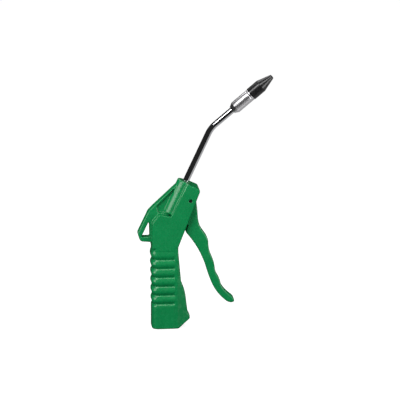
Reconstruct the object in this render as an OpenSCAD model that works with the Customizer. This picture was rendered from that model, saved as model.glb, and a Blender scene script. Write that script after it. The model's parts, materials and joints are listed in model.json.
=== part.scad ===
// Air blow gun: one moulded body with a ribbed grip and a hang loop, a lever
// trigger, a push-stem cartridge valve, and a bent tube with a rubber tip.
// Frame: the origin is the centre of the air inlet's mouth, +Z runs up the grip,
// +X points to the trigger and the nozzle, and Y = 0 is the mirror plane.

/* [Body] */
// Width of the body across its cheeks
body_w = 22; // [21:0.5:27]
// Distance from the inlet's axis to the grip's back
grip_back = 11.4; // [11.2:0.1:15]
// Distance from the inlet's axis to the grip's front at the waist
grip_front = 13.5; // [12.5:0.5:15]
// Height of the waist, where the grip meets the head
waist_z = 80; // [76:1:96]
// Length of the head's front edge, from the waist to its top corner
head_len = 59.5; // [58:0.5:66]
// Slope of the head's front edge above the horizontal
cheek_angle = 69; // [67:0.5:71]
// How far the toe reaches in front of the inlet's axis
toe_reach = 25; // [22:0.5:28]
// Number of ribs round the grip
rib_n = 6; // [3:1:7]
// Distance from rib to rib
rib_pitch = 8.72; // [8:0.02:9]
// Depth of the grooves between the ribs
rib_depth = 1.2; // [0.6:0.1:1.6]

/* [Hang loop] */
// Width of the hang loop and of the web's rim
loop_w = 9.5; // [8:0.5:12]
// Thickness of the loop's bars
loop_bar = 3.4; // [3:0.1:6]
// Thickness of the recessed web behind the barrel
web_t = 5; // [3:0.5:7]

/* [Barrel and nozzle] */
// Slope of the barrel's axis above the horizontal
nozzle_angle = 65; // [63:0.5:67]
// Distance from the head's front corner back to the barrel's axis
nozzle_back = 14.8; // [14.4:0.1:16]
// Outer diameter of the barrel
barrel_d = 16; // [14:0.2:18]
// Outer diameter of the nozzle tube
tube_d = 6; // [5:0.25:7]
// Wall of the nozzle tube
tube_wall = 1; // [0.5:0.1:1.5]
// Length of the tube from the head's end face to the bend's corner
tube_low = 56.5; // [40:0.5:80]
// Length of the tube from the bend's corner to the ferrule
tube_high = 26.4; // [20:0.2:60]
// Angle of the bend in the tube
bend_angle = 25; // [10:1:45]
// Radius of the bend at the tube's centreline
bend_r = 26; // [18:1:40]
// Outer diameter of the ferrule
ferrule_d = 11.6; // [10.5:0.1:14]
// Length of the ferrule
ferrule_len = 23; // [18:1:30]
// Outer diameter of the rubber tip
tip_d = 12.4; // [11:0.1:15]
// Length of the rubber tip's straight part
tip_straight = 12.7; // [9:0.1:16]
// Length of the rubber tip's cone
tip_cone = 13.6; // [10:0.1:18]
// Diameter of the air outlet
outlet_d = 2.5; // [1.5:0.1:3]

/* [Trigger] */
// Width of the trigger
trigger_w = 11.4; // [9.5:0.1:12]
// Clearance on each side of the trigger
trigger_gap = 0.4; // [0.2:0.05:0.5]
// Diameter of the trigger's pin
pin_d = 3.5; // [2.5:0.25:4]
// Running clearance round the pin, on the radius
pin_gap = 0.05; // [0.02:0.01:0.1]
// Distance from the pin down to the valve's axis
lever_arm = 22.5; // [21:0.5:23]

/* [Valve] */
// Diameter of the cartridge's thread
bush_d = 10; // [9.5:0.25:10.5]
// Diameter of the valve's chamber
chamber_d = 9; // [8:0.25:9]
// Diameter of the push stem
stem_d = 3; // [2:0.25:3.25]
// Running clearance round the stem, on the radius
stem_gap = 0.05; // [0.02:0.01:0.1]
// Thickness of the O-rings' cord
oring_cord = 1.2; // [1:0.1:1.4]

/* [Inlet] */
// Bore of the inlet thread, at its minor diameter
inlet_bore = 11.45; // [9:0.05:12]
// Outer diameter of the threaded insert
insert_d = 18; // [16:0.25:18]
// Length of the threaded insert
insert_len = 13; // [10:0.5:16]
// Diameter of the air channel up the grip
channel_d = 6; // [4:0.25:6]

/* [Hidden] */
$fn = 64;

// Directions in the XZ plane, as unit vectors [x, z]
function way(angle) = [cos(angle), sin(angle)];
// A point of a cubic curve, and the curve as a list of points without its first
function bend_point(p, t) = pow(1 - t, 3) * p[0] + 3 * t * pow(1 - t, 2) * p[1]
    + 3 * t * t * (1 - t) * p[2] + t * t * t * p[3];
function curve(p, n = 8) = [for (i = [1:n]) bend_point(p, i / n)];

// A closed outline from points [x, z, r], where r rounds that corner. A round is
// limited to what the edges beside it leave
function flat(p) = [p[0], p[1]];
function unit(v) = v / norm(v);
function near_angle(a) = a > 180 ? a - 360 : a < -180 ? a + 360 : a;
function round_corner(a, b, c, r, n = 6) =
    let (u = unit(a - b), w = unit(c - b), half = acos(u * w) / 2,
        cut = min(r / tan(half), 0.48 * norm(a - b), 0.48 * norm(c - b)),
        r_fit = cut * tan(half), centre = b + unit(u + w) * r_fit / sin(half),
        from = b + u * cut - centre, to = b + w * cut - centre,
        start = atan2(from[1], from[0]),
        sweep = near_angle(atan2(to[1], to[0]) - start))
    [for (i = [0:n]) centre + r_fit * way(start + sweep * i / n)];
function rounded(outline) =
    let (n = len(outline))
    [for (i = [0:n - 1]) let (b = outline[i])
        each (b[2] > 0
            ? round_corner(flat(outline[(i + n - 1) % n]), flat(b), flat(outline[(i + 1) % n]), b[2])
            : [flat(b)])];
function corner_at(p, r = 0) = [p[0], p[1], r];

// The head: its front edge rises from the waist, and its end face is square
// to the barrel's axis
waist = [grip_front, waist_z];
head_corner = waist + head_len * way(cheek_angle);
mouth = head_corner + nozzle_back * way(nozzle_angle + 90);
function barrel_at(depth) = mouth - depth * way(nozzle_angle);

// The pin sits behind the head's front edge, and the valve's axis is level
pin_inset = 5.3;
pin_down = 13.5;
pin = head_corner - pin_down * way(cheek_angle) + pin_inset * way(cheek_angle + 90);
valve_z = pin[1] - lever_arm;
slot_w = trigger_w + 2 * trigger_gap;

// Stations along the valve's axis, as X, from the slot's wall to the chamber's end
wall_x = pin[0] - 10.2;
thread_len = 5;
gallery_x = wall_x - thread_len;
land_x = gallery_x - 7.5;
land_len = 3.5;
seat_x = land_x - land_len;
chamber_wall = 2.5;
chamber_end = chamber_wall - grip_back;
bush_head_t = 1.5;
bush_head_d = slot_w - 0.4;
stem_out = 4.9;
seal_t = 1.5;
seal_d = chamber_d - 1.6;
cup_t = 1;
stem_tip = wall_x + bush_head_t + stem_out;
nub_r = 2.5;
nub_gap = 0.1;
flow_d = stem_d + 1.8;
gland_len = oring_cord + 0.2;
gland_d = stem_d + 2 * oring_cord;
retainer_t = 1;
retainer_d = gland_d + 1;

// The air channel comes up behind the valve's seat
channel_x = (seat_x + chamber_end) / 2;
inlet_room = 3;

// The barrel, and the sockets of the nozzle
barrel_len = 34;
nozzle_thread_d = 9;
nozzle_thread_len = 8.8;
nozzle_sink = 1.2;
passage_d = 5.5;
tube_in = nozzle_thread_len - 1;
spigot_d = 6;
spigot_bore = outlet_d + 0.5;
spigot_thread_len = 8;
socket_len = 9;

// An outline in the XZ plane, given a thickness across Y
module plate(points, w) {
    rotate([90, 0, 0]) linear_extrude(height = w, center = true) polygon(points);
}

// Placed at a point of the XZ plane, with +Z turned to an angle above +X
module aim(p, angle) {
    translate([p[0], 0, p[1]]) rotate([0, 90 - angle, 0]) children();
}

// Placed on the valve's axis, with +Z turned to +X
module on_valve(x) {
    translate([x, 0, valve_z]) rotate([0, 90, 0]) children();
}

// A round bar or bore along +Z
module rod(d, from, to) {
    translate([0, 0, from]) cylinder(d = d, h = to - from);
}

// A round bar or bore across Y at a point of the XZ plane
module cross_rod(p, r, w) {
    translate([p[0], 0, p[1]]) rotate([90, 0, 0]) cylinder(r = r, h = w, center = true);
}

// An O-ring standing on z = 0
module oring(inner_d, cord) {
    translate([0, 0, cord / 2]) rotate_extrude()
        translate([(inner_d + cord) / 2, 0]) circle(d = cord, $fn = 24);
}

// The grip's cross-section, with rounded back corners; it is set in by "inset"
grip_round = 6;
module grip_section(inset, front) {
    half = body_w / 2 - inset;
    back = -grip_back + inset;
    r = grip_round - inset;
    translate([back + r, -half]) square([front - back - r, 2 * half]);
    translate([back, -half + r]) square([2 * r, 2 * (half - r)]);
    for (side = [-1, 1]) translate([back + r, side * (half - r)]) circle(r = r);
}

// The side outline of grip and head together
toe_lip_z = 12;
toe_heel = toe_reach - 13;
toe_top = 46;
crotch = barrel_at(barrel_len + 1);
body_outline = rounded([
    [-grip_back, 0, 2],
    [toe_heel, 0, 1],
    [toe_reach - 0.3, 9.8, 0.8],
    [toe_reach - 0.4, toe_lip_z, 0.8],
    [toe_reach - 2.4, toe_lip_z + 3, 1],
    [toe_reach - 4.6, 33, 4],
    [toe_reach - 6, 39, 4],
    [grip_front + 2.7, toe_top, 5],
    [grip_front + 0.1, waist_z - 6, 10],
    corner_at(waist, 10),
    corner_at(head_corner, 3.5),
    corner_at(mouth, 0),
    corner_at(crotch, 0.8),
    corner_at(crotch + [-11.5, 2.4], 2.5),
    [-grip_back, crotch[1] - 5.6, 3]
]);

// The web's sloping edge runs from the barrel down to the hang loop
web_top = barrel_at(5.6) + (barrel_d / 2 - 0.8) * way(nozzle_angle + 90);
loop_top = [-grip_back - 3.1, crotch[1] + 4.1];
loop_out = [-grip_back - 13.2, waist_z + 13];
loop_low = waist_z + 4.8;
loop_outline = rounded([
    corner_at(web_top),
    corner_at(loop_top + [4.3, 4.5], 3),
    corner_at(loop_top, 2),
    corner_at(loop_out, 4),
    [loop_out[0] + 2.2, loop_low + 0.4, 4],
    [-grip_back, loop_low - 0.6, 0],
    [0, loop_low, 0],
    [0, crotch[1] - 6, 0],
    corner_at(barrel_at(30))
]);
hole_floor = waist_z + 9.4;
hole_outline = rounded([
    [-grip_back - 2, crotch[1] - 4.1, 0.8],
    [loop_out[0] + loop_bar - 0.1, hole_floor, 0.8],
    [-grip_back - 1.6, hole_floor, 0.8]
]);
web_recess = rounded([
    corner_at(barrel_at(10) + barrel_d / 2 * way(nozzle_angle + 90)),
    corner_at(loop_top + [7.3, 5], 2),
    corner_at(loop_top + [9.5, -1.5], 2),
    corner_at(barrel_at(30))
]);

// The slot between the cheeks. Its roof is parallel to the head's end face, and
// round the trigger's eye it is a round pocket
eye_r = 4.5;
eye_gap = 0.5;
roof = pin + 6 * way(nozzle_angle);
slot_floor = waist_z + 12.5;
head_floor = waist_z + 0.5;
slot_outline = [
    [wall_x, slot_floor],
    [waist[0] + 3, waist_z + 7],
    [waist[0] + 16, waist_z + 7],
    roof + 25 * way(nozzle_angle - 90),
    roof,
    pin + [-eye_r, -2],
    [wall_x, valve_z + 7]
];
module slot() {
    plate(slot_outline, slot_w);
    cross_rod(pin, eye_r + eye_gap, slot_w);
}

module body() {
    color([0.05, 0.5, 0.27]) difference() {
        union() {
            intersection() {
                plate(body_outline, body_w);
                union() {
                    linear_extrude(height = head_floor) difference() {
                        grip_section(0, toe_reach);
                        for (side = [-1, 1]) toe_facet(side);
                    }
                    translate([-grip_back, -body_w / 2, head_floor])
                        cube([head_len + grip_back, body_w, mouth[1]]);
                }
            }
            aim(mouth, nozzle_angle) rod(barrel_d, -barrel_len, 0);
            difference() {
                plate(loop_outline, loop_w);
                for (side = [-1, 1]) translate([0, side * (web_t + loop_w) / 2, 0])
                    plate(web_recess, loop_w);
            }
        }
        for (i = [1:rib_n]) rib_groove(rib_top + (0.5 - i) * rib_pitch);
        slot();
        plate(hole_outline, 3 * loop_w);
        cross_rod(pin, pin_d / 2, 2 * body_w);
        on_valve(0) rod(bush_d, land_x, wall_x + 0.1);
        on_valve(0) rod(chamber_d, chamber_end, land_x + 0.1);
        translate([channel_x, 0, 0]) rod(channel_d, insert_len + inlet_room - 0.1, valve_z);
        rod(insert_d, -0.1, insert_len);
        rod(insert_d - 5, insert_len - 0.1, insert_len + inlet_room);
        aim(mouth, nozzle_angle) {
            rod(nozzle_thread_d, -nozzle_sink - nozzle_thread_len - oring_cord, 0.1);
            rod(passage_d, -passage_len, -nozzle_sink);
        }
    }
}

// The passage from the barrel's mouth down to the gallery round the cartridge
passage_len = (mouth[1] - valve_z - bush_d / 2 + 1) / sin(nozzle_angle);

// The toe is narrower than the grip, with a flat facet on each side
facet_from = grip_front - 1;
module toe_facet(side) {
    polygon([
        [facet_from, side * body_w / 2],
        [facet_from, side * body_w],
        [toe_reach + 1, side * body_w],
        [toe_reach + 1, side * (body_w / 2 - 4.5)]
    ]);
}

// A groove round the grip's back and sides, short of its front edge
rib_top = waist_z - 8.9;
rib_gap = 3.4;
module rib_groove(z) {
    front = grip_front - 2.2;
    translate([0, 0, z - rib_gap / 2]) linear_extrude(height = rib_gap) difference() {
        translate([-grip_back - 5, -body_w]) square([grip_back + 5 + front, 2 * body_w]);
        grip_section(rib_depth, toe_reach);
    }
}

// The trigger's outline: its eye, its nub on the stem, and its finger waves
nub = [stem_tip + nub_gap + nub_r, valve_z];
blade = [nub[0] + 4, waist_z + 5];
trigger_back = concat(
    [pin + [-eye_r, 0], nub + [-0.2, 8], nub + [-0.6, nub_r - 0.2]],
    [nub + [-0.6, -nub_r + 0.2], nub + [-1.1, -7], blade + [-6.1, 8.3]],
    curve([blade + [-6.1, 8.3], blade + [4, -4], blade + [8, -14], blade + [12, -25]]),
    curve([blade + [12, -25], blade + [16.5, -40], blade + [19, -50], blade + [32, -60.6]])
);
trigger_front = concat(
    [blade + [36.4, -62]],
    curve([blade + [36.4, -62], blade + [40.2, -62], blade + [40, -59], blade + [37.6, -56.4]], 5),
    curve([blade + [37.6, -56.4], blade + [31.4, -51.6], blade + [27.6, -47], blade + [26.4, -42.8]], 6),
    curve([blade + [26.4, -42.8], blade + [25.4, -35.5], blade + [21.2, -35], blade + [20.5, -25]], 6),
    curve([blade + [20.5, -25], blade + [19.4, -16], blade + [14.4, -13], blade + [14.6, -1]], 6),
    curve([blade + [14.6, -1], blade + [13.2, 8], blade + [4.6, 8], blade + [4.4, 28]], 8),
    [pin + [6, -1.5], pin + [eye_r, 1]]
);

module trigger() {
    color([0.05, 0.5, 0.27]) difference() {
        union() {
            plate(concat(trigger_back, trigger_front), trigger_w);
            cross_rod(pin, eye_r, trigger_w);
            cross_rod(nub, nub_r, trigger_w);
        }
        cross_rod(pin, pin_d / 2 + pin_gap, 2 * trigger_w);
    }
}

module trigger_pin() {
    color("silver") cross_rod(pin, pin_d / 2, body_w - 0.6);
}

module inlet_insert() {
    groove_z = insert_len - 3 - oring_cord;
    color([0.78, 0.62, 0.3]) difference() {
        rod(insert_d, 0, insert_len);
        rod(inlet_bore, -0.1, insert_len + 0.1);
        translate([0, 0, groove_z]) difference() {
            rod(insert_d + 1, 0, oring_cord);
            rod(insert_d - 2 * oring_cord, -0.1, oring_cord + 0.1);
        }
    }
}

module inlet_oring() {
    color([0.1, 0.1, 0.1]) translate([0, 0, insert_len - 3 - oring_cord])
        oring(insert_d - 2 * oring_cord, oring_cord);
}

// The cartridge: a slotted head, a thread, a waist with cross holes, and a
// nose whose end is the valve's seat
front_groove = wall_x - 1.2 - oring_cord;
rear_groove = land_x - 1 - oring_cord;
module valve_bush() {
    color([0.78, 0.62, 0.3]) difference() {
        on_valve(0) union() {
            rod(bush_head_d, wall_x, wall_x + bush_head_t);
            rod(bush_d, gallery_x, wall_x);
            rod(flow_d + 2.4, land_x, gallery_x);
            rod(chamber_d, seat_x, land_x);
        }
        on_valve(0) {
            rod(stem_d + 2 * stem_gap, gallery_x, wall_x + 3);
            rod(flow_d, seat_x - 0.1, gallery_x + 0.1);
            rod(gland_d, wall_x + bush_head_t - retainer_t - gland_len, wall_x + 3);
            rod(retainer_d, wall_x + bush_head_t - retainer_t, wall_x + 3);
            groove(bush_d, front_groove);
            groove(chamber_d, rear_groove);
        }
        cross_x = (land_x + gallery_x) / 2;
        translate([cross_x, 0, valve_z]) for (turn = [0, 90]) rotate([turn, 0, 0])
            cylinder(d = 3, h = 2 * chamber_d, center = true);
        translate([wall_x + bush_head_t, 0, valve_z])
            cube([1.2, 1.2, 2 * bush_d], center = true);
    }
}

module groove(d, from) {
    difference() {
        rod(d + 1, from, from + oring_cord);
        rod(d - 2 * oring_cord, from - 0.1, from + oring_cord + 0.1);
    }
}

module bush_front_oring() {
    color([0.1, 0.1, 0.1]) on_valve(front_groove) oring(bush_d - 2 * oring_cord, oring_cord);
}

module bush_rear_oring() {
    color([0.1, 0.1, 0.1]) on_valve(rear_groove) oring(chamber_d - 2 * oring_cord, oring_cord);
}

// The stem's thin end carries the seal and the cup
neck_d = stem_d - 1;
module valve_stem() {
    color("silver") on_valve(0) union() {
        rod(stem_d, seat_x, stem_tip - 0.6);
        translate([0, 0, stem_tip - 0.6]) cylinder(d1 = stem_d, d2 = stem_d - 1.2, h = 0.6);
        rod(neck_d, seat_x - seal_t - cup_t, seat_x + 0.1);
    }
}

module stem_oring() {
    color([0.1, 0.1, 0.1]) on_valve(wall_x + bush_head_t - retainer_t - gland_len + 0.1)
        difference() {
            oring(stem_d, oring_cord);
            rod(stem_d + 2 * stem_gap, -1, 3);
        }
}

module oring_retainer() {
    color([0.78, 0.62, 0.3]) on_valve(wall_x + bush_head_t - retainer_t) difference() {
        rod(retainer_d, 0, retainer_t);
        rod(stem_d + 2 * stem_gap, -0.1, retainer_t + 0.1);
        translate([0, 0, retainer_t]) cube([2 * bush_d, 1.2, 1.2], center = true);
    }
}

module valve_seal() {
    color([0.12, 0.12, 0.12]) on_valve(seat_x - seal_t) difference() {
        rod(seal_d, 0, seal_t);
        rod(neck_d, -0.1, seal_t + 0.1);
    }
}

module seal_cup() {
    color([0.78, 0.62, 0.3]) on_valve(seat_x - seal_t - cup_t) difference() {
        rod(seal_d, 0, cup_t);
        rod(neck_d, -0.1, cup_t + 0.1);
    }
}

// A conical spring, wound as a helix whose radius grows towards the chamber's end
spring_wire = 0.6;
spring_turns = 3.5;
spring_r = [neck_d / 2 + 1.2, chamber_d / 2 - spring_wire / 2 - 0.3];
spring_steps = 16;
module valve_spring() {
    from = seat_x - seal_t - cup_t - spring_wire / 2;
    to = chamber_end + spring_wire / 2;
    n = ceil(spring_turns * spring_steps);
    turn = 360 / spring_steps;
    ring = [for (k = [0:5]) spring_wire / 2 * [cos(k * 60), sin(k * 60)]];
    points = [for (i = [0:n]) for (c = ring)
        let (t = i / n, r = spring_r[0] + (spring_r[1] - spring_r[0]) * t + c[0])
            [from + (to - from) * t + c[1], r * cos(i * turn), valve_z + r * sin(i * turn)]];
    sides = [for (i = [0:n - 1]) for (k = [0:5])
        let (a = i * 6 + k, b = i * 6 + (k + 1) % 6) each [[a, b, b + 6], [a, b + 6, a + 6]]];
    caps = [[for (k = [0:5]) 5 - k], [for (k = [0:5]) n * 6 + k]];
    color("silver") polyhedron(points, concat(sides, caps));
}

module nozzle_bush() {
    color([0.78, 0.62, 0.3]) aim(mouth, nozzle_angle) difference() {
        rod(nozzle_thread_d, -nozzle_sink - nozzle_thread_len, -nozzle_sink);
        rod(tube_d, -nozzle_sink - tube_in, 1);
        rod(tube_bore, -nozzle_sink - nozzle_thread_len - 1, 0);
    }
}

module nozzle_oring() {
    color([0.1, 0.1, 0.1])
        aim(barrel_at(nozzle_sink + nozzle_thread_len + oring_cord), nozzle_angle)
            oring(nozzle_thread_d - 2 * oring_cord, oring_cord);
}

// The bend: its corner, the length it takes off each straight, and its far end
corner = barrel_at(-tube_low);
tip_angle = nozzle_angle - bend_angle;
bend_cut = bend_r * tan(bend_angle / 2);
bend_start = corner - bend_cut * way(nozzle_angle);
bend_end = corner + bend_cut * way(tip_angle);
bend_centre = bend_start + bend_r * way(nozzle_angle - 90);
ferrule_start = corner + tube_high * way(tip_angle);
tube_bore = tube_d - 2 * tube_wall;

// Bending draws the wall a little thinner, by this much on each face
bend_draw = 0.03;
module nozzle_tube() {
    low_end = tube_low - bend_cut;
    color([0.75, 0.77, 0.8]) aim(mouth, nozzle_angle) union() {
        rotate(180) pipe(-nozzle_sink - tube_in, low_end);
        translate([bend_r, 0, low_end]) {
            rotate([90, 0, 0]) rotate(180 - bend_angle) rotate_extrude(angle = bend_angle)
                translate([bend_r, 0]) difference() {
                    circle(d = tube_d - 2 * bend_draw);
                    circle(d = tube_bore + 2 * bend_draw);
                }
            rotate([0, bend_angle, 0]) translate([-bend_r, 0, 0])
                rotate(180) pipe(0, tube_high - bend_cut + socket_len);
        }
    }
}

module pipe(from, to) {
    difference() {
        rod(tube_d, from, to);
        rod(tube_bore, from - 1, to + 1);
    }
}

// The ferrule: a short cone, a plain barrel, and a socket at each end
ferrule_cone = 4;
module ferrule() {
    color([0.8, 0.81, 0.82]) aim(ferrule_start, tip_angle) difference() {
        union() {
            cylinder(d1 = tube_d + 1.4, d2 = ferrule_d, h = ferrule_cone);
            rod(ferrule_d, ferrule_cone, ferrule_len);
        }
        rod(tube_d, -0.1, socket_len);
        rod(tube_bore, socket_len - 0.1, ferrule_len);
        rod(spigot_d, ferrule_len - spigot_thread_len, ferrule_len + 0.1);
    }
}

// The spigot that is screwed into the ferrule and pressed into the rubber
spigot_out = tip_straight - 2.7;
collar_d = spigot_d + 2.4;
module tip_nipple() {
    color([0.78, 0.62, 0.3]) aim(ferrule_start, tip_angle) difference() {
        union() {
            rod(spigot_d, ferrule_len - spigot_thread_len, ferrule_len + spigot_out);
            rod(collar_d, ferrule_len + spigot_out - 3, ferrule_len + spigot_out);
        }
        rod(spigot_bore, ferrule_len - spigot_thread_len - 0.1, ferrule_len + spigot_out + 0.1);
    }
}

module rubber_tip() {
    nose_d = outlet_d + 1.6;
    color([0.08, 0.08, 0.08]) aim(ferrule_start, tip_angle) difference() {
        translate([0, 0, ferrule_len]) union() {
            rod(tip_d, 0, tip_straight);
            translate([0, 0, tip_straight]) cylinder(d1 = tip_d, d2 = nose_d, h = tip_cone);
        }
        rod(spigot_d, ferrule_len - 0.1, ferrule_len + spigot_out);
        rod(collar_d, ferrule_len + spigot_out - 3, ferrule_len + spigot_out);
        rod(outlet_d, ferrule_len + spigot_out - 0.1, ferrule_len + tip_straight + tip_cone + 0.1);
    }
}

body();
trigger();
trigger_pin();
inlet_insert();
inlet_oring();
valve_bush();
bush_front_oring();
bush_rear_oring();
valve_stem();
stem_oring();
oring_retainer();
valve_seal();
seal_cup();
valve_spring();
nozzle_bush();
nozzle_oring();
nozzle_tube();
ferrule();
tip_nipple();
rubber_tip();
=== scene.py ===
# %% [markdown]
# # A compressed-air blow gun
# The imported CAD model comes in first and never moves: it says where each piece is. Around it the
# script builds finer pieces for what shows, gives every piece its finish, and lights the result.

# %% Load the frame
import json
import math

import bmesh
import bpy
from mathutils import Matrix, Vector


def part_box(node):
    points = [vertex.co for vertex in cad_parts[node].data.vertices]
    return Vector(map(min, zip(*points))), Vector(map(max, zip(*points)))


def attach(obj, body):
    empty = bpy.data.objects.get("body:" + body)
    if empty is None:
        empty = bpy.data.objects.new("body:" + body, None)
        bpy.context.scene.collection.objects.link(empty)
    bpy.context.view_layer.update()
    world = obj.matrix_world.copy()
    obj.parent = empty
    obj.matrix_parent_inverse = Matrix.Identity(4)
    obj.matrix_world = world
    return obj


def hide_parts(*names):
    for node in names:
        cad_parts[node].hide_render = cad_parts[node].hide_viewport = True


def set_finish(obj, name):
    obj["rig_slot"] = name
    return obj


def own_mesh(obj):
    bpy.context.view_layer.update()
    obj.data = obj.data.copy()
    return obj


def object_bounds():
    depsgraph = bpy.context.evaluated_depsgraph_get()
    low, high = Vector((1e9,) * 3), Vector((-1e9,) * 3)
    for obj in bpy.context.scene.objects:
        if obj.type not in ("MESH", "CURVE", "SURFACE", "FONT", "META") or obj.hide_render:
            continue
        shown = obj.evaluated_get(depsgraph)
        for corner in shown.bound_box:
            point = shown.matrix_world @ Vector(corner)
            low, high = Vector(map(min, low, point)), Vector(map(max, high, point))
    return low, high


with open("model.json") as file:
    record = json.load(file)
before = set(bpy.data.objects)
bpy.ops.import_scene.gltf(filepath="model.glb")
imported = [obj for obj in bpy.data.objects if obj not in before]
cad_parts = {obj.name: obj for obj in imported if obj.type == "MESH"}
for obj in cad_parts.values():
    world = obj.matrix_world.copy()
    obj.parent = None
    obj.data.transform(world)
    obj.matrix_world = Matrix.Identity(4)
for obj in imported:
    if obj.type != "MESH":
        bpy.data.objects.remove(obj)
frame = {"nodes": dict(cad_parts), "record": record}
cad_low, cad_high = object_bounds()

print("CAD pieces:", len(frame["nodes"]), "box in metres:", tuple(cad_low), tuple(cad_high))

# %% [markdown]
# ## Places
# Every place is worked out from the frame. The pin is where the trigger turns, two round pieces
# on the barrel's axis give its direction, and the air outlet's mount gives the tip's axis.

# %% Places from the frame
MM = 0.001


def way(angle):
    """A direction in the gun's mirror plane, in degrees above +X."""
    return Vector((math.cos(math.radians(angle)), 0, math.sin(math.radians(angle))))


def middle(node):
    low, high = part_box(node)
    return (low + high) / 2


def at(x, z, y=0):
    return Vector((x, y, z)) * MM


CHEEK = way(69)
CHEEK_BACK = way(159)
pin = middle("trigger_pin")
barrel_way = (middle("nozzle_bush") - middle("nozzle_oring")).normalized()
barrel_back = Vector((-barrel_way.z, 0, barrel_way.x))
mouth = middle("nozzle_bush") + barrel_way * 5.6 * MM
outlet = next(m for m in frame["record"]["mounts"] if m["name"] == "blow_outlet")
tip_way = Vector(outlet["axis"]).normalized()
tip_end = Vector(outlet["pos_m"])
head_corner = pin + (CHEEK * 13.5 - CHEEK_BACK * 5.3) * MM
waist = head_corner - CHEEK * 59.5 * MM
valve = middle("valve_stem")
print("pin", tuple(pin), "mouth", tuple(mouth), "waist", tuple(waist))

# %% [markdown]
# ## Hand tools
# The same few moves make every piece, so each becomes a small function. An outline is drawn one
# corner after another by extruding a single point, and then pulled out into a solid. A turned
# part grows from a circle, one ring at a time. A modifier is added, set and applied in one go.


# %% Outlines
def rounded(corners, steps=8):
    """An outline from corners (point, radius), with an arc at each corner that has a radius."""
    outline = []
    for i, (corner, radius) in enumerate(corners):
        before = corners[i - 1][0] - corner
        after = corners[(i + 1) % len(corners)][0] - corner
        if not radius:
            outline.append(corner)
            continue
        half = before.angle(after) / 2
        cut = min(radius * MM / math.tan(half), 0.48 * before.length, 0.48 * after.length)
        start = corner + before.normalized() * cut
        end = corner + after.normalized() * cut
        centre = corner + (before.normalized() + after.normalized()).normalized() * cut / math.cos(half)
        arm = start - centre
        for k in range(steps + 1):
            spoke = arm.slerp(end - centre, k / steps).normalized() * arm.length
            outline.append(centre + spoke)
    return outline


def curve(a, b, c, d, steps=10):
    """The points of a cubic curve after its first, for ends a and d and handles b and c."""
    share = [k / steps for k in range(1, steps + 1)]
    return [
        a * (1 - t) ** 3 + b * 3 * t * (1 - t) ** 2 + c * 3 * t * t * (1 - t) + d * t**3
        for t in share
    ]


def draw(name, outline, across):
    """Draws a closed outline corner by corner and pulls it out into a solid."""
    bpy.ops.object.select_all(action="DESELECT")
    bpy.ops.mesh.primitive_plane_add(size=MM, location=outline[0])
    piece = bpy.context.object
    piece.name = name
    bpy.ops.object.mode_set(mode="EDIT")
    bpy.ops.mesh.select_mode(type="VERT")
    bpy.ops.mesh.select_all(action="SELECT")
    bpy.ops.mesh.merge(type="CENTER")
    for here, there in zip(outline, outline[1:]):
        bpy.ops.mesh.extrude_vertices_move(TRANSFORM_OT_translate={"value": there - here})
    bpy.ops.mesh.select_all(action="SELECT")
    bpy.ops.mesh.edge_face_add()
    bpy.ops.mesh.extrude_region_move(TRANSFORM_OT_translate={"value": across})
    bpy.ops.mesh.select_all(action="SELECT")
    bpy.ops.mesh.normals_make_consistent(inside=False)
    settle(piece)
    return piece


def plate(name, outline, width):
    """A plate across the mirror plane, from an outline in that plane."""
    side = Vector((0, -width / 2 * MM, 0))
    return draw(name, [p + side for p in outline], side * -2)


# %% Solids, modifiers and cuts
def settle(piece):
    """Ends editing and puts the piece's place into its mesh."""
    if bpy.context.mode != "OBJECT":
        bpy.ops.object.mode_set(mode="OBJECT")
    bpy.ops.object.transform_apply(location=True, rotation=True, scale=True)
    piece.data.name = piece.name


def alone(piece):
    bpy.ops.object.select_all(action="DESELECT")
    piece.select_set(True)
    bpy.context.view_layer.objects.active = piece


def modify(piece, kind, **settings):
    """Adds a modifier, sets it and applies it."""
    alone(piece)
    bpy.ops.object.modifier_add(type=kind)
    modifier = piece.modifiers[-1]
    for setting, value in settings.items():
        setattr(modifier, setting, value)
    bpy.ops.object.modifier_apply(modifier=modifier.name)


def soften(piece, radius, segments=4, angle=30):
    """Rounds every edge sharper than the angle."""
    modify(
        piece,
        "BEVEL",
        width=radius * MM,
        segments=segments,
        limit_method="ANGLE",
        angle_limit=math.radians(angle),
        use_clamp_overlap=False,
    )


def combine(piece, other, operation):
    """UNION, DIFFERENCE or INTERSECT with another solid, which is used up."""
    modify(piece, "BOOLEAN", operation=operation, object=other, solver="MANIFOLD")
    bpy.data.objects.remove(other)


def pick(piece, kind, test):
    """Selects only the faces, edges or points, by kind, that pass a test."""
    bpy.ops.mesh.select_mode(type=kind)
    bpy.ops.mesh.select_all(action="DESELECT")
    mesh = bmesh.from_edit_mesh(piece.data)
    for part in {"VERT": mesh.verts, "EDGE": mesh.edges, "FACE": mesh.faces}[kind]:
        part.select_set(test(part))
    mesh.select_flush_mode()
    bmesh.update_edit_mesh(piece.data)


def edge_run(piece, test, radius, segments=8):
    """Rounds only the edges whose two ends both pass the test, which is in millimetres."""
    alone(piece)
    bpy.ops.object.mode_set(mode="EDIT")
    pick(piece, "EDGE", lambda edge: all(test(v.co / MM) for v in edge.verts))
    bpy.ops.mesh.bevel(offset=radius * MM, segments=segments, affect="EDGES")
    settle(piece)


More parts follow.
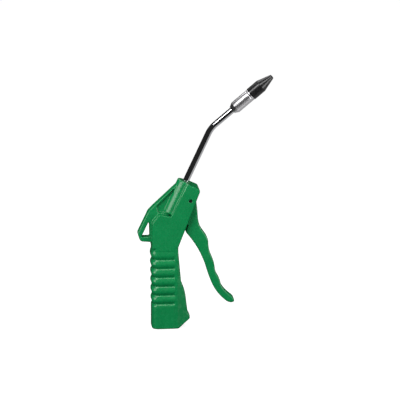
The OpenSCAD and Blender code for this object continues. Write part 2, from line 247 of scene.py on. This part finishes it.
def turned(name, start, along, rings, closed=False, sides=96):
    """Grows a turned part along an axis from rings (distance, radius), in millimetres.
    A closed part is a ring: its last ring meets its first."""
    lean = along.to_track_quat("Z", "Y").to_euler()
    first, radius = rings[0]
    bpy.ops.object.select_all(action="DESELECT")
    bpy.ops.mesh.primitive_circle_add(
        vertices=sides,
        radius=radius * MM,
        fill_type="NOTHING" if closed else "NGON",
        location=start + along * first * MM,
        rotation=lean,
    )
    piece = bpy.context.object
    piece.name = name
    bpy.ops.object.mode_set(mode="EDIT")
    path = rings[1:] + ([rings[0]] if closed else [])
    for distance, wide in path:
        step = along * (distance - first) * MM
        bpy.ops.mesh.extrude_region_move(TRANSFORM_OT_translate={"value": step})
        place = start + along * distance * MM
        bpy.ops.transform.resize(value=(wide / radius,) * 3, center_override=place)
        first, radius = distance, wide
    bpy.ops.mesh.select_all(action="SELECT")
    bpy.ops.mesh.remove_doubles(threshold=0.001 * MM)
    bpy.ops.mesh.normals_make_consistent(inside=False)
    settle(piece)
    return piece


def bar(start, along, length, radius, sides=64):
    """A plain round bar, used to cut bores and to build up a solid."""
    return turned("bar", start, along, [(0, radius), (length, radius)], sides=sides)


def skin(piece, voxel, passes, triangles):
    """Flows a new even skin over a solid, so that its parts meet in small fillets, as moulded."""
    modify(piece, "REMESH", mode="VOXEL", voxel_size=voxel * MM)
    modify(piece, "SMOOTH", factor=0.5, iterations=passes)
    count = sum(len(p.vertices) - 2 for p in piece.data.polygons)
    if count > triangles:
        modify(piece, "DECIMATE", ratio=triangles / count)
    alone(piece)
    bpy.ops.object.shade_smooth()
    print(piece.name, "triangles", sum(len(p.vertices) - 2 for p in piece.data.polygons))


# %% [markdown]
# ## The grip
# The grip is a rounded oblong in section. Its back and sides carry six soft ribs, and it stands
# on a plain base. Stacking sections does this well: the section is drawn once, raised a little
# at a time, and narrowed in each valley. The ribs stop short of the front, so the narrowing
# pulls towards the front edge, and a smooth front strip is added after.

# %% The ribbed sleeve
GRIP_BACK = -11.4
SLEEVE_FRONT = 12.6
BACK_ROUND = 5.6
FRONT_ROUND = 3.4
RIB_PITCH = 8.72
RIB_COUNT = 6
TOP_CREST = 72.3
BACK_VALLEY = 1.2
SIDE_VALLEY = 1.9
HALF_WIDTH = 11
FOOT_ROUND = 2.6
low_valley = TOP_CREST + (0.5 - RIB_COUNT) * RIB_PITCH
ridge_end = TOP_CREST + 0.5 * RIB_PITCH


def girth(z):
    """How far the sleeve stands out at a height: to the back, and to each side."""
    floor = -GRIP_BACK - BACK_VALLEY
    if z <= low_valley:
        rise = (z - low_valley + FOOT_ROUND) / FOOT_ROUND
        swell = math.sqrt(max(0, 1 - rise**2)) if rise > 0 else 1
        return floor + BACK_VALLEY * swell, HALF_WIDTH - SIDE_VALLEY * (1 - swell)
    if z >= ridge_end:
        return -GRIP_BACK, HALF_WIDTH
    turn = (z - low_valley) / RIB_PITCH
    swell = math.sin(math.pi * (turn % 1)) ** 0.75
    proud = 0.25 + 0.13 * turn
    if z > TOP_CREST:
        return -GRIP_BACK + proud * swell, HALF_WIDTH - 0.3 * (1 - swell)
    return floor + (BACK_VALLEY + proud) * swell, HALF_WIDTH - SIDE_VALLEY * (1 - swell)


def raise_sleeve():
    corners = [
        (at(GRIP_BACK, 0, -HALF_WIDTH), BACK_ROUND),
        (at(SLEEVE_FRONT, 0, -HALF_WIDTH), FRONT_ROUND),
        (at(SLEEVE_FRONT, 0, HALF_WIDTH), FRONT_ROUND),
        (at(GRIP_BACK, 0, HALF_WIDTH), BACK_ROUND),
    ]
    foot_top = low_valley - FOOT_ROUND
    sleeve = draw("sleeve", rounded(corners), Vector((0, 0, foot_top)) * MM)
    levels = [foot_top + FOOT_ROUND * math.sin(math.pi / 2 * k / 6) for k in range(1, 7)]
    for rib in range(RIB_COUNT):
        foot = low_valley + rib * RIB_PITCH
        levels += [foot + RIB_PITCH * (1 - math.cos(math.pi * k / 12)) / 2 for k in range(1, 13)]
    levels.append(waist.z / MM + 2)
    alone(sleeve)
    bpy.ops.object.mode_set(mode="EDIT")
    pick(sleeve, "FACE", lambda face: face.normal.z > 0.9)
    z, back, side = foot_top, -GRIP_BACK, HALF_WIDTH
    for level in levels:
        rise = (0, 0, (level - z) * MM)
        bpy.ops.mesh.extrude_region_move(TRANSFORM_OT_translate={"value": rise})
        wide, deep = girth(level)
        size = ((SLEEVE_FRONT + wide) / (SLEEVE_FRONT + back), deep / side, 1)
        bpy.ops.transform.resize(value=size, center_override=at(SLEEVE_FRONT, level))
        z, back, side = level, wide, deep
    settle(sleeve)
    return sleeve


body = raise_sleeve()
body.name = "moulded_body"
edge_run(body, lambda v: v.z < 0.01, 1.2, 5)
print("sleeve faces", len(body.data.polygons))

# %% [markdown]
# The grip's front is smooth. It swells out near the foot into a toe, whose two sides are planed
# off at a slant and whose underside rises towards the tip. Its side view is drawn as an outline,
# and two slanted cuts with bisect plane off the sides.

# %% The front strip and the toe
TOE = 25


def toe_block():
    corners = [
        (at(4, 0.02), 0),
        (at(TOE - 11.2, 0.02), 0.8),
        (at(TOE - 0.2, 8.8), 0.6),
        (at(TOE - 0.4, 12), 0.8),
        (at(TOE - 2.4, 15), 1),
        (at(TOE - 4.6, 33), 4),
        (at(TOE - 6, 39), 4),
        (at(16.2, 46), 5),
        (at(13.6, 74), 10),
        (waist, 10),
        (waist + CHEEK * 5 * MM, 0),
        (at(9.6, 84), 0),
        (at(9.6, low_valley), 0),
        (at(4, low_valley - 5), 0),
    ]
    block = plate("toe", rounded(corners), 21.4)
    for side in (-1, 1):
        alone(block)
        bpy.ops.object.mode_set(mode="EDIT")
        bpy.ops.mesh.select_all(action="SELECT")
        bpy.ops.mesh.bisect(
            plane_co=at(12.2, 0, 10.7 * side),
            plane_no=Vector((4.5, 13.5 * side, 0)).normalized(),
            use_fill=True,
            clear_outer=True,
        )
        settle(block)
    soften(block, 1.1, 5, 40)
    return block


combine(body, toe_block(), "UNION")

# %% [markdown]
# ## The head
# Above the waist the body widens into a head of two cheeks, with the trigger's slot between
# them. The barrel lies along its back, a little narrower than the cheeks, and a recessed web
# joins it to the hang loop. Each is a plate or a bar with soft edges, and they are added up.

# %% Cheeks, barrel, web and hang loop
def barrel_at(depth):
    return mouth - barrel_way * depth * MM


BARREL_R = 8
crotch = barrel_at(35)
back_top = Vector((GRIP_BACK * MM, 0, crotch.z - 5.6 * MM))


def cheeks():
    corners = [
        (at(GRIP_BACK, 79), 0),
        (at(13.4, 79), 0),
        (waist, 6),
        (head_corner, 3),
        (mouth, 0),
        (crotch, 0),
        (crotch + at(-11.5, 2.4), 4),
        (back_top, 5),
    ]
    block = plate("cheeks", rounded(corners), 22)
    far = barrel_back.dot(mouth / MM)
    edge_run(block, lambda v: abs(v.y) > 10.9 and abs(v.dot(barrel_back) - far) < 0.2, 2, 6)
    soften(block, 0.95, 5, 40)
    return block


def web_and_loop():
    edge_top = barrel_at(5.6) + barrel_back * (BARREL_R - 0.8) * MM
    loop_top = Vector((back_top.x - 3.1 * MM, 0, crotch.z + 4.1 * MM))
    loop_out = Vector((back_top.x, 0, waist.z)) + at(-13.2, 13)
    low = waist.z / MM + 4.8
    corners = [
        (edge_top, 0),
        (loop_top + at(4.3, 4.5), 3),
        (loop_top, 2),
        (loop_out, 4),
        (Vector((loop_out.x + 2.2 * MM, 0, (low + 0.4) * MM)), 4),
        (at(GRIP_BACK, low - 0.6), 0),
        (at(0, low), 0),
        (Vector((0, 0, crotch.z - 6 * MM)), 0),
        (barrel_at(30), 0),
    ]
    web = plate("web", rounded(corners), 9.5)
    soften(web, 0.8, 4, 40)
    recess = rounded([
        (barrel_at(10) + barrel_back * BARREL_R * MM, 0),
        (loop_top + at(7.5, 4.7), 2),
        (loop_top + at(9.5, -1.8), 2),
        (barrel_at(30), 0),
    ])
    for side in (-1, 1):
        cut = plate("recess", [p + Vector((0, side * 7.1 * MM, 0)) for p in recess], 9.2)
        combine(web, cut, "DIFFERENCE")
    floor = waist.z / MM + 9.4
    eye = rounded([
        (Vector((back_top.x - 2 * MM, 0, crotch.z - 4.1 * MM)), 0.8),
        (Vector((loop_out.x + 3.3 * MM, 0, floor * MM)), 0.8),
        (at(GRIP_BACK - 1.6, floor), 0.8),
    ])
    return web, plate("eye", eye, 30)


combine(body, cheeks(), "UNION")
barrel = bar(barrel_at(34), barrel_way, 34, BARREL_R)
soften(barrel, 1, 4)
combine(body, barrel, "UNION")
web, eye = web_and_loop()
combine(body, web, "UNION")
combine(body, eye, "DIFFERENCE")
print("body faces", len(body.data.polygons))

# %% [markdown]
# ## Cuts in the body
# The trigger needs a slot, the valve a stepped bore, and the nozzle and the hose coupling a
# threaded seat each. They are cut while the solid is still simple, because a cut through a
# dense skin is slow. The skin comes last: it rounds every edge a little, as a mould does.

# %% Slot and bores
def cut_slot():
    wall = pin.x / MM - 10.2
    top = pin + barrel_way * 6 * MM
    outline = [
        at(wall, waist.z / MM + 12.5),
        at(waist.x / MM + 3, waist.z / MM + 7),
        at(waist.x / MM + 16, waist.z / MM + 7),
        top - barrel_back * 25 * MM,
        top,
        pin + at(-4.5, -2),
        at(wall, valve.z / MM + 7),
    ]
    combine(body, plate("slot", outline, 12.2), "DIFFERENCE")
    pocket = bar(pin - Vector((0, 6.1 * MM, 0)), Vector((0, 1, 0)), 12.2, 5)
    combine(body, pocket, "DIFFERENCE")


def cut_bores():
    across, up, ahead = Vector((0, 1, 0)), Vector((0, 0, 1)), Vector((1, 0, 0))
    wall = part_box("valve_bush")[1].x / MM - 1.5
    chamber = middle("valve_spring").x / MM
    bores = [
        (pin - across * 0.02, across, 40, 1.75),
        (mouth - barrel_way * 11.2 * MM, barrel_way, 12, 4.5),
        (at(0, -0.5), up, 13.5, 9),
        (at(0, 12), up, 4, 6.5),
        (at(chamber - 1.4, 15), up, valve.z / MM - 15, 3),
        (at(GRIP_BACK + 2.5, valve.z / MM), ahead, 14, 4.5),
        (at(wall - 12.5, valve.z / MM), ahead, 12.6, 5),
    ]
    for start, along, length, radius in bores:
        combine(body, bar(start, along, length, radius, 48), "DIFFERENCE")


cut_slot()
cut_bores()
skin(body, 0.34, 7, 190_000)
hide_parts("body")
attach(body, "housing")
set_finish(body, "green_plastic")

# %% [markdown]
# ## The trigger
# The trigger is one curved lever: an eye at the top, a small round nub that meets the valve's
# stem, and three finger waves down to a curled tip. Its side view is a chain of cubic curves,
# pulled out to its width, and it gets soft edges and the same moulded skin.

# %% Trigger
def trigger_outline():
    nub = Vector((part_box("valve_stem")[1].x, 0, valve.z)) + at(2.6, 0)
    blade = Vector((nub.x, 0, waist.z)) + at(4, 5)
    outline = [
        pin + at(-4.5, 0),
        nub + at(-0.2, 8),
        nub + at(-0.6, 2.3),
        nub + at(-0.6, -2.3),
        nub + at(-2.2, -6.8),
        blade + at(-7.1, 8.4),
    ]
    bends = [
        [(-7.1, 8.4), (3.4, -3.6), (8, -14), (12, -25)],
        [(12, -25), (16.5, -40), (19, -50), (32, -60.6)],
        [(32, -60.6), (33.6, -61.4), (35, -62), (36.4, -62)],
        [(36.4, -62), (40.2, -62), (40, -59), (37.6, -56.4)],
        [(37.6, -56.4), (31.4, -51.6), (27.6, -47), (26.4, -42.8)],
        [(26.4, -42.8), (25.4, -35.5), (21.2, -35), (20.5, -25)],
        [(20.5, -25), (19.4, -16), (14.4, -13), (14.6, -1)],
        [(14.6, -1), (13.2, 8), (4.6, 8), (4.4, 28)],
    ]
    for bend in bends:
        outline += curve(*[blade + at(*handle) for handle in bend])
    return outline + [pin + at(6, -1.5), pin + at(4.5, 1)], nub


outline, nub = trigger_outline()
across = Vector((0, 11.4 * MM, 0))
trigger = plate("lever_trigger", outline, 11.4)
soften(trigger, 1.3, 5, 50)
for place, radius in ((pin, 4.5), (nub, 2.5)):
    boss = bar(place - across / 2, across.normalized(), 11.4, radius)
    soften(boss, 0.8, 4)
    combine(trigger, boss, "UNION")
combine(trigger, bar(pin - across, across.normalized(), 22.8, 1.8), "DIFFERENCE")
skin(trigger, 0.3, 4, 110_000)
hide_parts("trigger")
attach(trigger, "lever")
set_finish(trigger, "green_plastic")

# %% [markdown]
# ## The pin
# A plain ground pin holds the trigger. Its ends are chamfered and lie just below the cheeks.

# %% Pin
pin_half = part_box("trigger_pin")[1].y / MM
pin_ends = [(0, 1.35), (0.4, 1.74), (2 * pin_half - 0.4, 1.74), (2 * pin_half, 1.35)]
pivot = turned("pivot_pin", pin - Vector((0, pin_half * MM, 0)), Vector((0, 1, 0)), pin_ends, sides=48)
alone(pivot)
bpy.ops.object.shade_smooth_by_angle(angle=math.radians(30))
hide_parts("trigger_pin")
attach(pivot, "housing")
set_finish(pivot, "steel")

# %% [markdown]
# ## The nozzle tube
# A thin steel tube, bent once. A circle is extruded up the first straight, spun round the
# bend's centre, and extruded along the second. Spin is the exact tool for a bend of constant
# radius. Solidify then gives the tube its wall, inwards, so that its outside keeps its size.

# %% Tube
TUBE_R = 3
BEND_R = 26
ferrule_start = tip_end - tip_way * (23 + 12.7 + 13.6) * MM


def crossing(a, along_a, b, along_b):
    """Where two lines in the mirror plane meet."""
    gap = b - a
    return a + along_a * (gap.x * along_b.z - gap.z * along_b.x) / (
        along_a.x * along_b.z - along_a.z * along_b.x
    )


def bent_tube():
    elbow = crossing(mouth, barrel_way, ferrule_start, tip_way)
    bend = barrel_way.angle(tip_way)
    take = BEND_R * math.tan(bend / 2) * MM
    low = mouth - barrel_way * 9 * MM
    bend_start = elbow - barrel_way * take
    bpy.ops.object.select_all(action="DESELECT")
    bpy.ops.mesh.primitive_circle_add(
        vertices=96,
        radius=TUBE_R * MM,
        location=low,
        rotation=barrel_way.to_track_quat("Z", "Y").to_euler(),
    )
    tube = bpy.context.object
    tube.name = "bent_tube"
    bpy.ops.object.mode_set(mode="EDIT")
    bpy.ops.mesh.extrude_region_move(TRANSFORM_OT_translate={"value": bend_start - low})
    bpy.ops.mesh.spin(
        steps=24, angle=-bend, center=bend_start - barrel_back * BEND_R * MM, axis=(0, 1, 0)
    )
    reach = ferrule_start + tip_way * 9 * MM - elbow - tip_way * take
    bpy.ops.mesh.extrude_region_move(TRANSFORM_OT_translate={"value": reach})
    bpy.ops.mesh.select_all(action="SELECT")
    bpy.ops.mesh.remove_doubles(threshold=0.001 * MM)
    bpy.ops.mesh.normals_make_consistent(inside=False)
    settle(tube)
    modify(tube, "SOLIDIFY", thickness=MM, offset=-1, use_even_offset=True)
    alone(tube)
    bpy.ops.object.shade_smooth_by_angle(angle=math.radians(40))
    return tube


tube = bent_tube()
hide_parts("nozzle_tube")
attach(tube, "housing")
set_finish(tube, "chrome")
print("tube box in metres", [round(v, 4) for v in tube.dimensions])

# %% [markdown]
# ## Ferrule and rubber tip
# Both are turned about the tip's axis. The ferrule starts with a short cone on the tube and
# carries the rubber tip, which ends in a cone with the air outlet. Each is grown ring by ring
# as one closed profile, bore included, and a narrow bevel breaks the ferrule's sharp rims.

# %% Ferrule
ferrule_rings = [
    (0, 3.02), (0, 3.7), (4, 5.8), (20.8, 5.8), (21, 5.62), (21.3, 5.62), (21.5, 5.8),
    (23, 5.8), (23, 3.02),
]
ferrule = turned("turned_ferrule", ferrule_start, tip_way, ferrule_rings, closed=True)
soften(ferrule, 0.22, 3, 20)
alone(ferrule)
bpy.ops.object.shade_smooth_by_angle(angle=math.radians(35))
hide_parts("ferrule")
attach(ferrule, "housing")
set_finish(ferrule, "aluminium")

# %% Rubber tip
tip_rings = [(0.06, 3.02), (0.06, 5.9), (0.4, 6.2), (12, 6.2)]
tip_rings += [(12.0 + k * 0.35, 6.2 - 0.02 * k * k) for k in range(1, 5)]
tip_rings += [(25.6, 2.26), (26.05, 2.02), (26.3, 1.7), (26.3, 1.3), (25.9, 1.25), (10, 1.25), (10, 3.02)]
rubber = turned("rubber_cone", ferrule_start + tip_way * 23 * MM, tip_way, tip_rings, closed=True)
alone(rubber)
bpy.ops.object.shade_smooth_by_angle(angle=math.radians(35))
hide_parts("rubber_tip")
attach(rubber, "housing")
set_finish(rubber, "black_rubber")

# %% [markdown]
# ## The threaded inlet
# A brass insert in the grip's foot takes the hose coupling. The CAD piece has a plain bore at
# the thread's inner size. Here the bore is cut into V grooves at the thread's pitch.

# %% Inlet insert
THREAD_IN = 5.725
THREAD_OUT = 6.58
THREAD_PITCH = 1.337
inlet_rings = [(0, 8.95), (0, THREAD_OUT + 0.3), (0.7, THREAD_IN)]
for turn in range(8):
    foot = 0.9 + turn * THREAD_PITCH
    inlet_rings += [(foot, THREAD_IN), (foot + 0.55, THREAD_OUT), (foot + 1.1, THREAD_IN)]
inlet_rings += [(12.9, THREAD_IN), (12.9, 8.95)]
inlet = turned("threaded_inlet", Vector((0, 0, 0.02 * MM)), Vector((0, 0, 1)), inlet_rings, closed=True)
alone(inlet)
bpy.ops.object.shade_smooth_by_angle(angle=math.radians(25))
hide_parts("inlet_insert")
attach(inlet, "housing")
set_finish(inlet, "brass")

# %% [markdown]
# ## The valve spring
# The spring is a coil of round wire on the valve's axis; in the real valve the stem pushes it
# shorter. The real one is a cone, so that its turns can sink into each other.

# %% Valve spring
SPRING_WIRE = 0.35
SPRING_TURNS = 3


def coil_spring():
    low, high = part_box("valve_spring")
    coil = (high.z - low.z) / 2 - SPRING_WIRE * MM
    rise = high.x - low.x - 2 * SPRING_WIRE * MM
    bpy.ops.object.select_all(action="DESELECT")
    bpy.ops.mesh.primitive_circle_add(
        vertices=12, radius=SPRING_WIRE * MM, location=(coil, 0, 0), rotation=(math.radians(90), 0, 0)
    )
    spring = bpy.context.object
    spring.name = "coil_spring"
    bpy.ops.object.transform_apply(location=True, rotation=True, scale=True)
    modify(
        spring,
        "SCREW",
        axis="Z",
        angle=math.tau * SPRING_TURNS,
        steps=36 * SPRING_TURNS,
        screw_offset=rise,
        use_normal_calculate=True,
    )
    alone(spring)
    bpy.ops.object.mode_set(mode="EDIT")
    pick(spring, "EDGE", lambda edge: edge.is_boundary)
    bpy.ops.mesh.edge_face_add()
    bpy.ops.mesh.select_all(action="SELECT")
    bpy.ops.mesh.normals_make_consistent(inside=False)
    bpy.ops.object.mode_set(mode="OBJECT")
    spring.rotation_euler = (0, math.radians(90), 0)
    spring.location = (low.x + SPRING_WIRE * MM, 0, valve.z)
    settle(spring)
    return spring, low


spring, spring_low = coil_spring()
alone(spring)
bpy.ops.object.shade_smooth_by_angle(angle=math.radians(50))
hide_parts("valve_spring")
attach(spring, "housing")
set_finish(spring, "steel")
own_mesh(spring)
print("spring in millimetres", [round(v / MM, 2) for v in spring.dimensions])

# %% [markdown]
# ## Finishes
# A finish is a small network of nodes round one shader. Object coordinates are in metres, so a
# noise of scale 1000 has grains of about a millimetre. Each finish gets a slow change of tone,
# a finer change of gloss and a fine bump, because no real surface is perfectly even.

# %% Helpers for finishes
def finish(name, **sockets):
    """A new material with values set straight on its shader's sockets."""
    material = bpy.data.materials.new(name)
    material.use_nodes = True
    shader = material.node_tree.nodes["Principled BSDF"]
    for socket, value in sockets.items():
        shader.inputs[socket.replace("_", " ")].default_value = value
    return material.node_tree, shader, material


def node(tree, kind, **settings):
    made = tree.nodes.new(kind)
    for setting, value in settings.items():
        if setting in made.inputs:
            made.inputs[setting].default_value = value
        else:
            setattr(made, setting, value)
    return made


def place(tree, turn=(0, 0, 0), stretch=(1, 1, 1)):
    """Object coordinates, turned and stretched."""
    coords = node(tree, "ShaderNodeTexCoord")
    mapping = node(tree, "ShaderNodeMapping", Rotation=turn, Scale=stretch)
    tree.links.new(coords.outputs["Object"], mapping.inputs["Vector"])
    return mapping.outputs["Vector"]


def noise(tree, where, scale, detail=3.0):
    made = node(tree, "ShaderNodeTexNoise", Scale=scale, Detail=detail)
    tree.links.new(where, made.inputs["Vector"])
    return made.outputs["Fac"]


def between(tree, value, low, high, start=0.3, end=0.7):
    """A number that runs from low to high as the value runs from start to end."""
    made = node(tree, "ShaderNodeMapRange")
    for socket, number in zip(("From Min", "From Max", "To Min", "To Max"), (start, end, low, high)):
        made.inputs[socket].default_value = number
    tree.links.new(value, made.inputs["Value"])
    return made.outputs["Result"]


def blend_tone(tree, share, dark, light):
    made = node(tree, "ShaderNodeMix", data_type="RGBA")
    made.inputs[6].default_value = (*dark, 1)
    made.inputs[7].default_value = (*light, 1)
    tree.links.new(share, made.inputs["Factor"])
    return made.outputs[2]


def bump(tree, height, distance, strength, under=None):
    made = node(tree, "ShaderNodeBump", Distance=distance * MM, Strength=strength)
    tree.links.new(height, made.inputs["Height"])
    if under is not None:
        tree.links.new(under, made.inputs["Normal"])
    return made.outputs["Normal"]


# %% [markdown]
# ### Moulded green plastic
# Semi-gloss nylon: an even green, a hair lighter along sharp edges as a painted highlight, a
# faint orange-peel, and the fine line where the two halves of the mould met, along the mirror plane.

# %% Green plastic
def green_plastic():
    tree, shader, material = finish("green_plastic", IOR=1.5)
    here = place(tree)
    tone = between(tree, noise(tree, here, 70), 0, 1)
    colour = blend_tone(tree, tone, (0.0022, 0.182, 0.051), (0.003, 0.205, 0.059))
    geometry = node(tree, "ShaderNodeNewGeometry")
    # Painted highlight: sharp edges (high pointiness) are mixed towards a lighter green, in place of light
    # caught on rounded edges.
    painted_edge_highlight = between(tree, geometry.outputs["Pointiness"], 0, 0.16, 0.52, 0.64)
    edge = node(tree, "ShaderNodeMix", data_type="RGBA")
    tree.links.new(painted_edge_highlight, edge.inputs["Factor"])
    tree.links.new(colour, edge.inputs[6])
    edge.inputs[7].default_value = (0.02, 0.33, 0.13, 1)
    tree.links.new(edge.outputs[2], shader.inputs["Base Color"])
    gloss = between(tree, noise(tree, here, 260), 0.22, 0.32)
    tree.links.new(gloss, shader.inputs["Roughness"])
    split = node(tree, "ShaderNodeSeparateXYZ")
    tree.links.new(here, split.inputs["Vector"])
    distance = node(tree, "ShaderNodeMath", operation="ABSOLUTE")
    tree.links.new(split.outputs["Y"], distance.inputs[0])
    seam = between(tree, distance.outputs["Value"], 0, 1, 0.02 * MM, 0.16 * MM)
    line = bump(tree, seam, 0.08, 0.5)
    peel = bump(tree, noise(tree, here, 900), 0.02, 0.35, line)
    tree.links.new(peel, shader.inputs["Normal"])
    return material


# %% [markdown]
# ### Metals
# Chrome is nearly a mirror with faint haze. Turned brass and steel carry fine rings round their
# axis: a noise squeezed hard along that axis. The aluminium sleeve is drawn, so its noise is
# squeezed across the axis instead and gives fine lengthwise lines.

# %% Metals
def metal(name, dark, light, roughness, turn=(0, 0, 0), lines=(30, 30, 5200), grain=0.2):
    tree, shader, material = finish(name, Metallic=1.0)
    here = place(tree)
    drawn = place(tree, turn, lines)
    tone = between(tree, noise(tree, here, 120), 0, 1)
    tree.links.new(blend_tone(tree, tone, dark, light), shader.inputs["Base Color"])
    gloss = between(tree, noise(tree, drawn, 1), roughness[0], roughness[1])
    tree.links.new(gloss, shader.inputs["Roughness"])
    ripple = bump(tree, noise(tree, drawn, 1), 0.01, grain)
    tree.links.new(ripple, shader.inputs["Normal"])
    return material


# %% [markdown]
# ### Rubber
# Moulded black rubber, slightly shiny when new, with a fine dusty grain.

# %% Rubber
def rubber_finish():
    tree, shader, material = finish("black_rubber", IOR=1.5)
    here = place(tree)
    tone = between(tree, noise(tree, here, 300), 0, 1)
    colour = blend_tone(tree, tone, (0.006, 0.006, 0.0065), (0.014, 0.0135, 0.014))
    tree.links.new(colour, shader.inputs["Base Color"])
    gloss = between(tree, noise(tree, here, 700), 0.22, 0.36)
    tree.links.new(gloss, shader.inputs["Roughness"])
    tree.links.new(bump(tree, noise(tree, here, 1600), 0.02, 0.3), shader.inputs["Normal"])
    return material


# %% Give every piece its finish
EVEN = (0, 0, 0)
tip_lean = (0, -tip_way.angle(Vector((0, 0, 1))), 0)
along_x = (0, math.radians(-90), 0)
finishes = {
    "green_plastic": green_plastic(),
    "chrome": metal(
        "chrome", (0.72, 0.73, 0.75), (0.8, 0.8, 0.82), (0.05, 0.11), EVEN, (900, 900, 900), 0.03
    ),
    "aluminium": metal(
        "aluminium", (0.66, 0.65, 0.67), (0.74, 0.73, 0.75), (0.26, 0.42),
        tip_lean, (1500, 1500, 40), 0.05,
    ),
    "brass": metal("brass", (0.62, 0.42, 0.16), (0.72, 0.5, 0.21), (0.2, 0.36)),
    "steel": metal("steel", (0.32, 0.33, 0.34), (0.45, 0.46, 0.47), (0.18, 0.32), along_x),
    "black_rubber": rubber_finish(),
}
slots = {row["node"]: row["material_slot"] for row in frame["record"]["subparts"]}


def dress(piece, slot):
    piece.data.materials.clear()
    piece.data.materials.append(finishes[slot])


for name, piece in frame["nodes"].items():
    dress(piece, slots[name])
for piece in (body, trigger, pivot, tube, ferrule, rubber, inlet, spring):
    dress(piece, piece["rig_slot"])
print("finishes:", sorted(finishes))

# %% [markdown]
# ## Floor, backdrop and light
# The gun stands on its foot on a white table in front of a white wall. Polished metal shows what
# is round it, so the room itself stays dark: a soft box up on the left gives the tube and the
# ferrule their bright streak. One big soft light in front is left out of reflections and only
# fills. Three lights shine on chosen pieces alone: one on the plastic, one on the whole nozzle
# in place of the lit table top, and a small one on the ferrule.

# %% Floor and backdrop
def white(name, glow, tone):
    tree, shader, material = finish(name, Emission_Strength=glow, Roughness=0.9)
    shader.inputs["Emission Color"].default_value = (1, 1, 1, 1)
    shader.inputs["Base Color"].default_value = (tone, tone, tone, 1)
    return material


def stage_disc(name, radius, height, material):
    bpy.ops.object.select_all(action="DESELECT")
    bpy.ops.mesh.primitive_circle_add(vertices=96, radius=radius, fill_type="NGON", location=(0, 0, height))
    disc = bpy.context.object
    disc.name = name
    disc.data.materials.append(material)
    return disc


pale = white("pale_table", 0.9, 0.3)
table = stage_disc("table", 0.42, -0.02 * MM, pale)
wide_floor = stage_disc("floor", 9, -0.4 * MM, white("pale_floor", 1.0, 0.0))
bpy.ops.object.select_all(action="DESELECT")
bpy.ops.mesh.primitive_uv_sphere_add(segments=48, ring_count=24, radius=8.8)
dome = bpy.context.object
dome.name = "backdrop"
dome.data.materials.append(white("pale_wall", 1.0, 0.0))
for far in (table, wide_floor, dome):
    far.visible_glossy = False
    far.visible_diffuse = False
for far in (wide_floor, dome):
    far.visible_shadow = False

world = bpy.data.worlds.new("room")
bpy.context.scene.world = world
world.use_nodes = True
world.node_tree.nodes["Background"].inputs["Color"].default_value = (1, 1, 1, 1)
world.node_tree.nodes["Background"].inputs["Strength"].default_value = 0.02
bpy.context.scene.view_settings.view_transform = "Standard"

# %% Lights
target = (cad_low + cad_high) / 2


def soft_light(name, towards, distance, size, power, in_mirror=True, only=None):
    """A soft light in a direction from the gun, turned to face it. A light can be left out of
    reflections, or shine only on the pieces of one collection."""
    data = bpy.data.lights.new(name, "AREA")
    data.shape = "RECTANGLE"
    data.size, data.size_y = size
    data.energy = power
    lamp = bpy.data.objects.new(name, data)
    bpy.context.scene.collection.objects.link(lamp)
    back = Vector(towards).normalized()
    lamp.location = target + back * distance
    lamp.rotation_euler = back.to_track_quat("Z", "Y").to_euler()
    lamp.visible_glossy = in_mirror
    lamp.visible_camera = False
    if only:
        lamp.light_linking.receiver_collection = only
    return lamp


def group(name, pieces):
    """A collection that a light can be limited to."""
    made = bpy.data.collections.new(name)
    for piece in pieces:
        made.objects.link(piece)
    return made


moulded = group("moulded_pieces", (body, trigger))
nozzle = group("nozzle_pieces", (tube, ferrule, rubber))

soft_light("key_box", (-0.46, -0.49, 0.72), 1.1, (0.3, 0.42), 4, True)
soft_light("overhead_strip", (0.1, -0.52, 0.85), 1.1, (0.9, 0.25), 6, True)
soft_light("left_box", (-1, -0.6, 0.25), 1.4, (1.0, 0.9), 14, True, moulded)
soft_light("front_fill", (0, -1, 0.1), 1.8, (1.2, 1.2), 7, False)
soft_light("right_box", (1, -0.75, 0.1), 1.5, (0.8, 0.8), 10, True)
soft_light("back_box", (-0.2, 0.6, 1.0), 1.6, (1.2, 1.2), 12, True)

# %% Lights for the nozzle and the ferrule alone
table_glow = soft_light("table_glow", (0, 0, -1), 0.1, (0.88, 0.82), 1.0, True, nozzle)
table_glow.location = (0.475, 0.2, 0.003)
metal_sleeve = group("metal_sleeve", (ferrule,))
soft_light("sleeve_glow", (0.35, -0.8, -0.45), 0.24, (0.3, 0.3), 0.09, True, metal_sleeve)

# %% Camera
VIEW_WIDTH = 0.3780
DISTANCE = 6.0


def set_camera():
    data = bpy.data.cameras.new("camera")
    camera = bpy.data.objects.new("camera", data)
    bpy.context.scene.collection.objects.link(camera)
    turn, rise = math.radians(-6), math.radians(15)
    back = Vector(
        (math.sin(turn) * math.cos(rise), -math.cos(turn) * math.cos(rise), math.sin(rise))
    )
    data.sensor_width = 36
    data.lens = data.sensor_width * DISTANCE / VIEW_WIDTH
    camera.location = Vector((0.0350, 0, 0.1231)) + back * DISTANCE
    camera.rotation_euler = back.to_track_quat("Z", "Y").to_euler()
    bpy.context.scene.camera = camera


set_camera()
